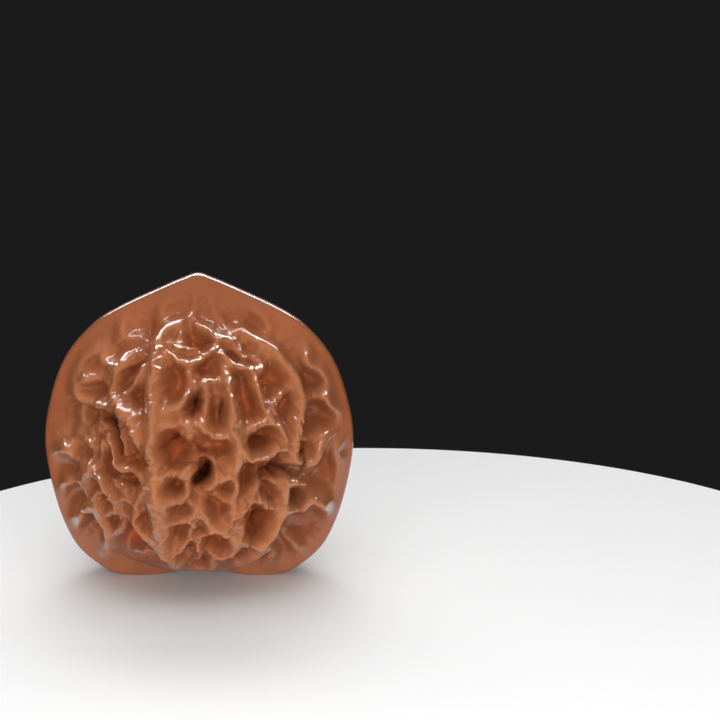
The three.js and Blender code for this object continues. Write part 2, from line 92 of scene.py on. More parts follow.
# %% Rings in the seam plane
CENTRE_Z = 20.5  # height of the nut's middle, mm
OUTLINE = [  # right half, from the notch between the feet up to the point, mm
    (0, 0.9), (4, 0.1), (8.6, -0.5), (12, -0.1), (15.2, 1.7), (18.2, 4.9), (20.6, 10.9), (22, 19),
    (21.1, 25.8), (18.9, 31.7), (15.2, 36.2), (11.4, 38.8), (5.6, 41.6), (2.2, 43.1), (0, 43.8),
]
BELLY_EDGE = [  # once round from the foot, mm
    (0, 0.3), (5, 1.0), (8.4, 3.2), (10.4, 6), (12.2, 9.3), (12.9, 12.8), (13.6, 16.8), (14.8, 20.9),
    (15.6, 24.9), (15.2, 29.1), (12.4, 32.9), (8.8, 36.2), (5.8, 38.4), (0, 40.2), (-5.8, 38.6),
    (-8.7, 36.6), (-11.3, 33.2), (-13, 29.2), (-14, 24.7), (-15.2, 19.5), (-16.6, 15.4), (-15.9, 12.1),
    (-14.5, 8.8), (-13, 5.6), (-10, 3.0), (-5, 1.0),
]
CURVE_STEPS = 24  # steps of a curve between two of its points


def spline(points, closed=False):
    """A smooth curve through the points."""
    p = np.array(points, float)
    if closed:
        p = np.vstack([p[-1], p, p[0], p[1]])
    else:
        p = np.vstack([2 * p[0] - p[1], p, 2 * p[-1] - p[-2]])
    t = np.linspace(0, 1, CURVE_STEPS, endpoint=False)[:, None]
    spans = []
    for a, b, c, d in zip(p, p[1:], p[2:], p[3:]):
        bend = 2 * a - 5 * b + 4 * c - d + t * (3 * b - a - 3 * c + d)
        spans.append(b + 0.5 * t * (c - a + t * bend))
    return np.vstack(spans if closed else spans + [p[-2:-1]])


def ring_radius(points):
    """Distance of a closed ring from the nut's middle, as a function of the angle."""
    ring = spline(np.array(points) - (0, CENTRE_Z), closed=True)
    ring_angle = np.arctan2(ring[:, 1], ring[:, 0])
    order = np.argsort(ring_angle)
    distance = np.hypot(ring[:, 0], ring[:, 1])[order]
    return lambda angle: np.interp(angle, ring_angle[order], distance, period=2 * math.pi)


outline_radius = ring_radius(OUTLINE + [(-x, z) for x, z in OUTLINE[-2:0:-1]])
belly_radius = ring_radius(BELLY_EDGE)
belly_width = belly_radius(0.0) + belly_radius(math.pi)
print(f"flange {2 * outline_radius(0.0):.1f} mm wide, belly {belly_width:.1f} mm")

# %% [markdown]
# ## The smooth shell
# Without its crests the nut is a domed disc. A thin rim thickens towards the feet, a low dome makes the
# flange, and a second dome makes the belly, steep at its sides and drawn out to a cone under the point. A
# box could be subdivided and pushed into this form by hand, but a formula keeps the fine skin on the
# part's own solid.

# %% Half thickness
RIM_TOP, RIM_FOOT = 1.1, 3.0  # half thickness of the rim at the point and at the feet, mm
RIM_GROWS = -0.2, 1  # sines of the angle below the middle between which the rim thickens
RIM_ROUND = 0.12  # share of the way in from the rim over which its edge is rounded
FLANGE_RISE = 5.0  # mm
FLANGE_FALL = 1.5  # the higher, the more pointed the flange's dome
BELLY_RISE = 10.0  # mm
BELLY_FULL = 3.6  # the higher, the flatter the belly's top
SIDE_STEEP, TOP_STEEP = 0.75, 2.0  # fall of the belly at its sides and below the point
TOP_SPREAD = 0.9  # radians to each side of the point over which the fall changes


def smooth(low, high, value):
    """A soft step from 0 to 1 between two values."""
    share = np.clip((value - low) / (high - low), 0, 1)
    return share * share * (3 - 2 * share)


def shell_depth(share, angle):
    """Half thickness of the smooth shell at a share of the outline's radius."""
    latitude = np.arccos(np.clip(share, 0, 1))
    rim = RIM_TOP + (RIM_FOOT - RIM_TOP) * smooth(*RIM_GROWS, -np.sin(angle))
    flange = FLANGE_RISE * (1 - np.minimum(share, 1) ** 2) ** FLANGE_FALL
    belly_share = np.minimum(share * outline_radius(angle) / belly_radius(angle), 1)
    off_top = np.arctan2(np.cos(angle), np.sin(angle)) / TOP_SPREAD
    steep = SIDE_STEEP + (TOP_STEEP - SIDE_STEEP) * np.exp(-(off_top**2))
    belly = BELLY_RISE * (1 - belly_share**BELLY_FULL) ** steep
    return (rim + belly) * np.tanh(latitude / RIM_ROUND) + flange


print(f"smooth shell {2 * float(shell_depth(0.0, 0.0)):.1f} mm thick at its middle")

# %% [markdown]
# ## An even skin
# A ball of rings and segments has poles where triangles crowd together, and a polished surface shows
# them. A geodesic ball has none: each face of an icosahedron is cut into small triangles and blown up
# onto the sphere. It is cut so finely that a crest is about ten triangles wide.

# %% Geodesic ball
SPLIT = 98  # parts that each edge of the icosahedron is cut into
LITTLE_MORE = 1.01  # of an edge, so that two neighbours are found in spite of rounding


def icosahedron():
    """The twelve corners on the unit sphere, and the twenty faces."""
    golden = (1 + 5**0.5) / 2
    flat = np.array([(s, t * golden, 0) for s in (1, -1) for t in (1, -1)])
    corners = np.vstack([np.roll(flat, k, axis=1) for k in range(3)]) / math.hypot(1, golden)
    edge = 2 / math.hypot(1, golden)
    joined = np.linalg.norm(corners[:, None] - corners, axis=2) < edge * LITTLE_MORE
    return corners, [
        (i, j, k)
        for i in range(12) for j in range(i) for k in range(j)
        if joined[i, j] and joined[j, k] and joined[i, k]
    ]


def geodesic_ball(split):
    """Points on the unit sphere and triangles of an icosahedron with its edges cut into parts."""
    corners, faces = icosahedron()
    points, triangles = [], []
    for i, j, k in faces:
        a, b, c = corners[i], corners[j], corners[k]
        if np.dot(np.cross(b - a, c - a), a) < 0:
            b, c = c, b
        row_start = []
        for u in range(split + 1):
            row_start.append(len(points))
            begin = a + (b - a) * (u / split)
            points.extend(begin + (c - a) * (v / split) for v in range(split + 1 - u))
        for u in range(split):
            for v in range(split - u):
                here, there = row_start[u] + v, row_start[u + 1] + v
                triangles.append((here, there, here + 1))
                if v < split - u - 1:
                    triangles.append((there, there + 1, here + 1))
    points = np.array(points)
    points /= np.linalg.norm(points, axis=1)[:, None]
    _, first, index = np.unique(np.round(points, 6), axis=0, return_index=True, return_inverse=True)
    return points[first], index.reshape(-1)[np.array(triangles)]


direction, triangles = geodesic_ball(SPLIT)
print(f"ball of {len(direction)} points and {len(triangles)} triangles")

# %% [markdown]
# ## The ball laid on the shell
# Each point of the ball keeps its angle about the middle, and its height over the seam becomes a place on
# the way from the rim to the top of the belly. That way is measured along the shell's curved side, so the
# triangles stay even on the steep flanks. Two attributes go with the mesh for later: how deep the bowls
# lie, and how far the crests fade out towards the rim.

# %% Shell mesh
VALLEY_DEPTH = 3.5  # mm that the ground between the crests lies below the smooth shell
VALLEY_EDGE = 0.25  # share of the belly's radius over which it goes down
RIM_FADE = 0.03, 0.16  # shares of the way in from the rim between which the relief grows
PROFILE_STEPS = 400


def keep(mesh, label, values, kind="FLOAT"):
    """Stores a number for each point of a mesh under a label."""
    number = np.int32 if kind == "INT" else np.float32
    mesh.attributes.new(label, kind, "POINT").data.foreach_set("value", np.array(values, number))


angle = np.arctan2(direction[:, 2], direction[:, 0])
way_in = np.arcsin(np.clip(np.abs(direction[:, 1]), 0, 1)) / (math.pi / 2)
steps = np.cos(np.linspace(0, math.pi / 2, PROFILE_STEPS))
profile = np.column_stack([steps * outline_radius(0.0), shell_depth(steps, 0 * steps)])
length = np.append(0, np.cumsum(np.linalg.norm(np.diff(profile, axis=0), axis=1)))
share = np.interp(way_in, length / length[-1], steps)
radius = share * outline_radius(angle)
depth = np.sign(direction[:, 1]) * shell_depth(share, angle)
shell = np.column_stack([radius * np.cos(angle), depth, CENTRE_Z + radius * np.sin(angle)])
valley = -VALLEY_DEPTH * smooth(0, VALLEY_EDGE, 1 - radius / belly_radius(angle))

shell_mesh = bpy.data.meshes.new("smooth_shell")
shell_mesh.from_pydata((shell * MM).tolist(), [], triangles.tolist())
shell_mesh.shade_smooth()
keep(shell_mesh, "valley", valley * MM)
keep(shell_mesh, "rim_fade", smooth(*RIM_FADE, way_in))
print("smooth shell in mm:", np.round(np.ptp(shell, axis=0), 1))

# %% [markdown]
# ## Ribs
# The strongest crests run from the shoulder down to the base. No rule gives the net of a grown shell, so
# every crest is drawn one by one: its rise in millimetres and a few places along it, in picture pixels. A
# noise texture would be quicker, but its wrinkles have no direction, and the eye knows a walnut by the
# run of its ribs.

# %% Ribs
RIBS = [  # rise in mm, places in pixels
    [3.2, [[183, 322], [172, 326], [165, 333], [162, 343], [160, 356], [158, 374], [157, 394], [159, 414],
           [157, 436], [157, 458], [160, 480], [163, 502], [165, 524], [167, 544], [173, 558], [183, 568]]],
    [2.8, [[229, 368], [232, 380], [232, 396], [236, 410], [238, 424], [243, 438], [244, 452], [240, 463],
           [232, 471]]],
    [2.8, [[240, 331], [248, 332], [256, 338], [266, 343], [277, 349], [287, 361], [297, 373], [304, 386],
           [308, 400], [306, 414], [303, 427], [301, 441], [298, 456], [292, 470], [289, 483], [289, 497],
           [287, 508], [282, 521], [277, 533], [268, 543], [266, 551], [259, 559], [244, 566]]],
    [2.4, [[114, 436], [104, 446], [97, 456], [91, 467], [83, 477], [86, 487], [92, 499], [99, 508],
           [100, 518], [106, 531], [109, 545], [115, 553]]],
    [2.4, [[141, 355], [130, 358], [122, 367], [118, 379], [114, 392], [118, 401], [124, 409], [134, 417],
           [139, 430], [148, 445]]],
]
print(len(RIBS), "ribs")

# %% [markdown]
# ## Lips
# Between the ribs, thinner walls close off bowls, steep below and sloping above like the lip of a jug.
# They join the ribs and each other, which makes a net of the separate lines.

# %% Lips
LIPS = [
    # shoulder of the belly
    [1.6, [[120, 342], [128, 339], [140, 338], [150, 341]]],
    [1.9, [[126, 355], [136, 352], [143, 351], [150, 347], [160, 343]]],
    [1.4, [[142, 352], [147, 357], [160, 357]]],
    [2.0, [[172, 327], [180, 330], [186, 338], [188, 347]]],
    [2.2, [[162, 343], [175, 343], [183, 348], [188, 347], [193, 350], [200, 351]]],
    [2.4, [[201, 326], [211, 331], [222, 336], [233, 339], [240, 346], [246, 356]]],
    [2.4, [[162, 352], [172, 353], [182, 360], [191, 364], [203, 361], [213, 353], [221, 346], [226, 338]]],
    [2.2, [[222, 346], [227, 355], [234, 363], [246, 367], [258, 369], [265, 367], [262, 359], [255, 355],
           [246, 357]]],
    [1.6, [[260, 334], [269, 337], [278, 347]]],
    [2.0, [[158, 360], [147, 368], [143, 377], [137, 386], [129, 393], [119, 399]]],
    # bowls between the left rib and the middle rib
    [2.0, [[188, 364], [193, 372], [195, 383]]],
    [2.4, [[195, 383], [194, 392], [189, 401], [180, 407], [168, 409], [159, 412]]],
    [2.6, [[158, 432], [165, 426], [174, 423], [180, 425], [186, 421], [193, 424], [199, 421], [206, 425],
           [213, 431], [220, 435], [227, 435], [234, 431], [239, 429]]],
    [1.6, [[184, 424], [188, 432], [196, 433], [200, 426]]],
    [2.6, [[158, 464], [163, 471], [170, 473], [178, 470], [188, 467], [196, 465], [202, 461]]],
    [1.8, [[196, 440], [201, 447], [207, 452], [213, 456]]],
    [2.6, [[213, 456], [218, 463], [220, 471], [219, 479], [212, 485], [206, 486], [202, 481]]],
    [2.4, [[217, 482], [225, 478], [233, 475], [241, 473], [242, 485], [239, 496], [231, 499], [221, 491]]],
    [2.4, [[161, 482], [172, 474], [182, 472], [191, 475], [195, 486], [192, 495], [182, 501], [164, 503]]],
    [2.2, [[192, 496], [199, 504], [201, 511], [195, 518], [182, 521], [165, 522]]],
    [2.4, [[208, 492], [206, 505], [209, 514], [214, 522], [219, 527]]],
    [2.4, [[196, 518], [199, 526], [196, 535], [187, 544], [176, 550], [168, 549]]],
    [2.4, [[198, 527], [207, 531], [214, 530], [219, 526], [226, 530], [233, 531]]],
    [2.2, [[205, 531], [203, 544], [200, 556], [190, 563], [180, 566]]],
    [2.4, [[239, 496], [240, 508], [234, 518], [229, 527]]],
    [2.4, [[229, 527], [236, 532], [240, 540], [238, 548], [231, 556], [223, 557], [214, 550]]],
    [1.8, [[214, 550], [217, 560], [212, 569], [200, 571], [187, 568]]],
    # columns between the middle rib and the right rib
    [2.4, [[203, 394], [206, 385], [213, 381], [221, 382], [231, 386]]],
    [2.0, [[211, 382], [212, 396], [211, 410], [206, 421]]],
    [2.4, [[256, 369], [260, 384], [264, 397], [270, 409], [277, 420]]],
    [2.0, [[300, 386], [288, 391], [279, 400], [280, 412], [277, 420]]],
    [2.6, [[243, 434], [252, 432], [260, 430], [264, 425], [271, 422], [278, 421], [284, 428], [288, 437],
           [292, 446]]],
    [2.8, [[248, 436], [251, 448], [255, 459], [264, 457], [273, 455], [280, 450], [291, 447], [301, 443]]],
    [1.8, [[262, 468], [261, 482], [256, 491], [246, 497]]],
    [1.8, [[270, 466], [276, 479], [284, 485], [290, 487]]],
    [2.4, [[232, 519], [241, 513], [249, 509], [252, 501], [260, 498], [268, 500], [273, 506], [287, 507]]],
    [2.0, [[238, 515], [244, 520], [246, 528], [243, 534], [248, 542], [257, 546], [267, 545]]],
    [1.6, [[282, 526], [287, 535], [292, 546]]],
]
print(len(LIPS), "lips")

# %% [markdown]
# ## Wrinkles and folds
# The left side of the belly is wrinkled finer than the rest. The flange has only low folds that run out
# towards the rim, and a few streaks below the point.

# %% Wrinkles and folds
WRINKLES = [
    # left side of the belly
    [2.0, [[104, 418], [112, 424], [120, 431], [125, 442], [131, 452]]],
    [2.2, [[114, 438], [119, 448], [120, 460], [126, 466], [137, 467]]],
    [1.8, [[93, 468], [100, 474], [107, 479], [111, 489], [117, 499], [127, 507]]],
    [2.4, [[137, 467], [144, 474], [151, 484], [155, 498], [157, 512]]],
    [1.8, [[121, 482], [128, 487], [139, 488], [147, 484]]],
    [1.6, [[116, 499], [127, 499], [136, 500], [145, 493]]],
    [1.8, [[143, 502], [141, 511], [136, 516], [143, 527], [153, 536], [164, 541]]],
    [1.6, [[127, 508], [115, 510], [101, 515]]],
    [1.6, [[129, 512], [127, 524], [118, 532], [109, 538]]],
    [1.6, [[91, 498], [99, 495], [110, 488]]],
    [1.2, [[163, 544], [150, 549], [137, 552]]],
]
FOLDS = [
    # left half of the flange
    [0.7, [[56, 437], [58, 431], [66, 428]]],
    [1.0, [[51, 453], [60, 451], [72, 449], [77, 456], [86, 460]]],
    [1.0, [[81, 433], [90, 438], [99, 446]]],
    [0.8, [[84, 432], [92, 429], [105, 428]]],
    [1.1, [[83, 478], [72, 483], [65, 487], [59, 498]]],
    [1.2, [[94, 502], [86, 512], [79, 521], [70, 531]]],
    [0.9, [[108, 545], [106, 556], [106, 567]]],
    [0.9, [[77, 382], [90, 381], [104, 377]]],
    [0.9, [[77, 384], [78, 394], [88, 399], [99, 403], [106, 408], [114, 410]]],
    [1.2, [[106, 359], [110, 365], [119, 366]]],
    [0.8, [[99, 374], [106, 376], [112, 384]]],
    [0.6, [[112, 352], [100, 350], [90, 354], [82, 365], [75, 377]]],
    [0.6, [[126, 318], [125, 328], [127, 338]]],
    [0.7, [[88, 402], [86, 413], [88, 424]]],
    # right half of the flange
    [0.9, [[309, 345], [310, 355], [312, 366], [322, 370], [329, 379], [332, 387]]],
    [1.0, [[309, 399], [321, 399], [329, 400], [333, 409], [342, 413], [343, 424]]],
    [1.0, [[303, 439], [316, 437], [326, 435], [337, 433]]],
    [1.8, [[299, 458], [305, 468], [311, 463], [317, 461], [321, 454], [323, 446], [327, 439]]],
    [1.6, [[289, 480], [296, 482], [303, 481], [302, 471]]],
    [0.9, [[347, 436], [341, 446], [337, 455], [342, 466], [343, 480], [340, 493]]],
    [1.5, [[288, 509], [297, 507], [304, 509], [309, 502], [314, 500], [320, 503], [327, 509], [339, 518]]],
    [0.9, [[270, 543], [273, 555], [270, 569]]],
    [0.9, [[294, 541], [299, 551], [303, 560]]],
    [0.6, [[249, 298], [257, 309], [266, 318], [271, 330]]],
    # streaks below the point
    [0.3, [[176, 293], [166, 305], [161, 322]]],
    [0.15, [[206, 286], [213, 299], [219, 314]]],
    [0.15, [[196, 290], [196, 305], [195, 318]]],
    [0.3, [[222, 321], [230, 328], [232, 337]]],
]
print(len(WRINKLES), "wrinkles,", len(FOLDS), "folds")

# %% [markdown]
# ## Bowls and holes
# The ground between the crests isn't even: it is scooped out in bowls, and under some lips it drops into
# dark holes. Each has a depth, a half width and a middle line, and is taken off after all crests are up.

# %% Bowls and holes
BOWLS = [  # depth and half width in mm, places in pixels
    # shoulder
    [1.2, 1.0, [[176, 335], [181, 339]]],
    [1.2, 0.9, [[147, 353], [152, 352]]],
    [1.4, 0.9, [[201, 342], [206, 352]]],
    [1.2, 1.2, [[231, 346], [236, 355]]],
    [0.9, 0.9, [[254, 360], [258, 362]]],
    # left of the left rib
    [2.0, 1.3, [[141, 365], [136, 375], [128, 387]]],
    [1.0, 1.4, [[147, 392], [144, 408], [147, 425]]],
    [1.2, 1.2, [[95, 477], [99, 486]]],
    [1.4, 0.9, [[103, 503], [110, 501]]],
    [1.8, 0.9, [[134, 503], [135, 508]]],
    [1.6, 0.6, [[138, 496], [142, 495]]],
    [1.4, 1.0, [[110, 518], [120, 515]]],
    [1.0, 1.4, [[122, 530], [134, 537]]],
    [1.2, 0.8, [[110, 553], [112, 564]]],
    # between the left rib and the middle rib
    [1.6, 1.7, [[177, 374], [175, 396]]],
    [1.4, 1.1, [[209, 366], [206, 373]]],
    [1.6, 0.9, [[214, 390], [215, 405], [216, 420]]],
    [1.0, 1.6, [[172, 458], [188, 457]]],
    [2.0, 0.7, [[202, 489], [210, 489]]],
    [0.9, 1.2, [[177, 511], [186, 510]]],
    [1.6, 1.0, [[174, 532], [188, 526]]],
    [0.9, 1.3, [[217, 500], [219, 512]]],
    [1.8, 1.2, [[215, 536], [222, 537]]],
    [1.2, 0.8, [[174, 556], [182, 555]]],
    [1.0, 0.7, [[208, 555], [207, 564]]],
    # between the middle rib and the right rib
    [2.0, 0.7, [[247, 378], [249, 392], [248, 408]]],
    [1.8, 1.0, [[256, 402], [256, 417]]],
    [1.4, 0.7, [[268, 390], [274, 405]]],
    [2.0, 1.1, [[276, 374], [281, 386]]],
    [0.9, 1.1, [[287, 400], [288, 415]]],
    [1.8, 0.6, [[248, 424], [251, 427]]],
    [1.0, 0.6, [[287, 424], [295, 440]]],
    [1.0, 1.1, [[267, 474], [266, 488]]],
    [0.9, 0.7, [[250, 490], [248, 495]]],
    [1.2, 0.7, [[240, 519], [240, 525]]],
    [2.0, 0.9, [[243, 540], [243, 552]]],
    # flange
    [1.4, 1.0, [[96, 506], [89, 518]]],
    [2.0, 1.6, [[303, 520], [320, 524]]],
    [1.6, 0.7, [[297, 466], [299, 471]]],
    [1.4, 0.7, [[292, 487], [300, 486]]],
    [1.6, 0.9, [[282, 544], [288, 549]]],
    [1.6, 0.7, [[272, 546], [274, 556]]],
    [1.8, 0.9, [[325, 450], [324, 462]]],
    [2.0, 1.2, [[314, 402], [318, 410]]],
    [1.4, 1.2, [[310, 372], [313, 386]]],
    [1.4, 0.8, [[309, 418], [308, 432]]],
    [0.8, 0.9, [[163, 292], [159, 312], [156, 332], [152, 343]]],
    [0.6, 0.9, [[248, 312], [254, 330]]],
    [1.2, 1.2, [[92, 388], [100, 394]]],
    [1.0, 1.4, [[70, 466], [74, 472]]],
    [1.0, 1.2, [[318, 446], [312, 450]]],
    [0.8, 1.6, [[330, 470], [330, 485]]],
    [0.8, 1.6, [[312, 480], [318, 490]]],
]
HOLES = [
    [2.2, 0.9, [[192, 336], [195, 346]]],
    [2.4, 0.7, [[242, 338], [247, 344], [251, 352]]],
    [3.0, 0.9, [[118, 412], [127, 424], [132, 438], [133, 450]]],
    [2.4, 1.4, [[113, 447], [109, 457]]],
    [2.6, 1.1, [[141, 474], [144, 482]]],
    [3.2, 0.9, [[203, 390], [200, 402], [199, 412]]],
    [2.2, 0.7, [[222, 388], [223, 405], [222, 425]]],
    [2.8, 1.5, [[171, 441], [181, 438], [188, 442]]],
    [3.4, 1.0, [[203, 441], [209, 446]]],
    [1.8, 1.2, [[216, 442], [231, 441]]],
    [5.5, 1.3, [[202, 474], [207, 470], [211, 463]]],
    [2.6, 1.3, [[173, 481], [184, 477]]],
    [3.0, 0.8, [[223, 484], [228, 483]]],
    [3.0, 0.8, [[202, 517], [207, 517]]],
    [2.2, 0.7, [[200, 535], [194, 545], [186, 553]]],
    [3.4, 1.1, [[254, 438], [264, 436]]],
    [2.4, 1.0, [[250, 465], [264, 463], [280, 458], [294, 454]]],
    [2.2, 0.7, [[246, 460], [245, 472]]],
    [3.0, 1.3, [[262, 508], [255, 517], [253, 525]]],
]
print(len(BOWLS), "bowls,", len(HOLES), "holes")

# %% [markdown]
# ## What each kind of line does
# A crest falls off to both sides over a reach, further on its upper side than below, and its top is
# rounded. On top of it lies a narrow cord, the bead that such a crest carries along its edge. The relief
# is pushed outwards and leaned towards the eye, so that the walls stand up instead of spreading like
# petals.

# %% Kinds of lines
CRESTS = [  # lines, gain of the rise, reach above and below the line and rounding of the top, mm
    (RIBS, 0.8, 4.2, 4.0, 1.3),
    (LIPS, 0.75, 3.6, 2.0, 0.85),
    (WRINKLES, 0.9, 2.6, 2.2, 0.75),
    (FOLDS, 2.6, 5.0, 4.0, 0.8),
]
HOLLOWS = [  # lines, gain of the depth, reach and rounding in half widths, mm down to the drawn place
    (BOWLS, 0.6, 1.2, 1.2, 1.0),
    (HOLES, 1.5, 0.9, 0.3, 2.0),
]
CORD = 0.35  # height of the cord along a crest, as a share of the crest's rise
LEAN = 1.5  # weight of the eye's direction against the shell's own
DROOP = 0.15  # share of the relief by which crests hang down
UPHILL = 0.5, 0.87  # direction towards the seam and the point: inwards, up
TAPER_LENGTH = 2.5  # mm over which a line runs out at its ends
TAPER_REST = 0.6  # share of the rise that is left at the very end
LINE_STEP = 0.3  # mm between the points of a line
print("the highest rib rises", max(rise for rise, _ in RIBS), "mm before its gain")

# %% [markdown]
# ## From the picture to the shell
# A place in the picture is a straight line through the nut. It is followed from the eye until it meets
# the near side of the shell. Since a crest stands proud, its foot has to start a little aside of where
# its top is seen, so the step is repeated with the lift taken off. Ray casting against the mesh would do
# as well, but the formula gives all places of a line at once.

# %% Places on the shell
NEAREST = -22  # mm, a plane in front of the whole nut
DEPTH_STEPS = 1500  # from that plane to the seam
FOOT_ROUNDS = 4  # times that the foot of a crest is corrected
SLOPE_STEP = 0.3  # mm to each side, for measuring a slope


def shell_depth_at(x, z):
    """Half thickness of the shell at places in the seam plane, or -1 outside the outline."""
    angle = np.arctan2(z - CENTRE_Z, x)
    share = np.hypot(x, z - CENTRE_Z) / outline_radius(angle)
    return np.where(share < 1, shell_depth(share, angle), -1)


def drop_on_shell(across, up):
    """Where the eye's lines through places in the picture meet the near side of the shell."""
    depth = np.linspace(NEAREST, 0, DEPTH_STEPS)[:, None]
    height = (up - depth * upward.y) / upward.z
    inside = -depth < shell_depth_at(across + 0 * depth, height)
    inside[-1] = True
    y = depth[np.argmax(inside, axis=0), 0]
    return np.column_stack([across, y, (up - y * upward.y) / upward.z])


def outward(p):
    """Direction that the near side of the shell faces."""
    x, z = p[:, 0], p[:, 2]
    slope_x = shell_depth_at(x + SLOPE_STEP, z) - shell_depth_at(x - SLOPE_STEP, z)
    slope_z = shell_depth_at(x, z + SLOPE_STEP) - shell_depth_at(x, z - SLOPE_STEP)
    normal = np.column_stack([-slope_x, np.full(len(p), -2 * SLOPE_STEP), -slope_z])
    return normal / np.linalg.norm(normal, axis=1)[:, None]


def foot_of_crest(across, up, lift):
    """Places on the shell from which a relief of this lift reaches the drawn line."""
    foot = drop_on_shell(across, up)
    for _ in range(FOOT_ROUNDS):
        way = outward(foot) - LEAN * np.array(sight)
        way = way / np.linalg.norm(way, axis=1)[:, None] - DROOP * np.array((0, *UPHILL))
        moved = way * lift[:, None]
        foot = drop_on_shell(across - moved[:, 0], up - moved @ np.array(upward))
    return foot


front = drop_on_shell(np.zeros(1), np.array([CENTRE_Z]))[0]
print("the middle of the picture meets the shell at", np.round(front, 1), "mm")

# %% [markdown]
# ## The net as a mesh of edges
# Each line becomes a chain of edges on the near belly, and a second one on the far belly, where the lines
# wander aside so that the two bellies aren't mirror images. Its points carry the line's number, rise,
# reach and rounding as attributes. Curves would need a resampling step in the tree, and plain edges are
# ready to be measured from.

# %% Chains of edges
FAR_SHIFT = 2.0, 1.6  # mm that lines wander on the far belly, across and up
FAR_WAVE = 5  # mm, length scale of that wander
FAR_SLANT = (0.5, 1.0), (1.3, -0.6)  # run of the two waves, across and up
FAR_START = 0.7, 0.4  # radians at the foot of the axis, across and up
LINE_VALUES = "rise", "above", "below", "round"


def wander(p):
    """Drawn places, moved aside by two slow waves."""
    return p + FAR_SHIFT * np.sin((p / FAR_WAVE + FAR_START) @ np.transpose(FAR_SLANT))


def all_lines():
    """For each line its pixels, rise, depth of the drawn place or None, reaches and rounding."""
    for drawn, gain, above, below, rounding in CRESTS:
        for rise, pixels in drawn:
            yield pixels, rise * gain, None, above, below, rounding
    for drawn, gain, reach, rounding, sunk in HOLLOWS:
        for depth, width, pixels in drawn:
            yield pixels, -depth * gain, -sunk, reach * width, reach * width, rounding * width


def chain(placed, rise, sunk):
    """Places on the near side along a line, and the rise at each."""
    fine = spline(placed)
    along = np.append(0, np.cumsum(np.linalg.norm(np.diff(fine, axis=0), axis=1)))
    at = np.linspace(0, along[-1], max(2, math.ceil(along[-1] / LINE_STEP)) + 1)
    from_end = np.minimum(at, along[-1] - at)
    height = rise * (TAPER_REST + (1 - TAPER_REST) * smooth(0, TAPER_LENGTH, from_end))
    lift = height * (1 + CORD) if sunk is None else np.full(len(at), sunk)
    across, up = np.interp(at, along, fine[:, 0]), np.interp(at, along, fine[:, 1])
    return foot_of_crest(across, up, lift), height


points, edges, values = [], [], []
lines = list(all_lines())
for number, (pixels, rise, sunk, above, below, rounding) in enumerate(lines):
    drawn = (np.array(pixels, float) * (1, -1) + (-axis_x, PICTURE_FLOOR)) * MM_PER_PIXEL
    for side, placed in ((1, drawn), (-1, wander(drawn))):
        feet, heights = chain(placed, rise, sunk)
        edges.extend((len(points) + i, len(points) + i + 1) for i in range(len(feet) - 1))
        points.extend(feet * (1, side, 1) * MM)
        values.extend((number, h * MM, above * MM, below * MM, rounding * MM) for h in heights)

net_mesh = bpy.data.meshes.new("crest_lines")
net_mesh.from_pydata([tuple(p) for p in points], edges, [])
numbers, *columns = np.transpose(values)
keep(net_mesh, "line", numbers, "INT")
for label, column in zip(LINE_VALUES, columns):
    keep(net_mesh, label, column)
crest_lines = bpy.data.objects.new("crest_lines", net_mesh)
bpy.context.scene.collection.objects.link(crest_lines)
print(f"{len(lines)} lines on each belly, {len(points)} points")

# %% [markdown]
# ## Nodes from a script
# Shader trees and geometry trees are both nodes with settings, values and links, so one small function
# adds any node. A value that is a socket becomes a link, and anything else is typed into the socket. A
# second function starts a geometry tree with its named inputs and outputs.

# %% Helpers for nodes
def add(tree, kind, inputs=None, **settings):
    """Adds a node with its settings, and links or sets its inputs."""
    made = tree.nodes.new(kind)
    for name, value in settings.items():
        setattr(made, name, value)
    for key, value in (inputs or {}).items():
        if isinstance(value, bpy.types.NodeSocket):
            tree.links.new(value, made.inputs[key])
        else:
            made.inputs[key].default_value = value
    return made


def new_tree(name, inputs, outputs):
    """A geometry tree, the sockets that it is given, and its last node."""
    tree = bpy.data.node_groups.new(name, "GeometryNodeTree")
    for sockets, way in ((inputs, "INPUT"), (outputs, "OUTPUT")):
        for label, kind in sockets.items():
            tree.interface.new_socket(label, in_out=way, socket_type="NodeSocket" + kind)
    return tree, add(tree, "NodeGroupInput").outputs, add(tree, "NodeGroupOutput")


print("helpers ready")

# %% [markdown]
# ## The relief of one line
# This tree measures how far a place is from one line. A crest rises from a deep foot to its top on a
# rounded flank, gets its cord, and is joined with the relief so far by a smooth maximum, which fills the
# corner between two crests as the shell does. A hollow is simply taken off. The result is a vector: the
# relief in X, and in Y how much the hollows took off.

# %% Tree of one line
FLANK_FOOT = 5.0  # mm below the shell at which a crest's flank would end
FLANK_POWER = 1.6  # above 1 the flanks are hollow
CORD_WIDTH = 2.0  # half width of the cord in roundings
LOPSIDED = 0.8  # how squarely above or below a line its full upper or lower reach holds


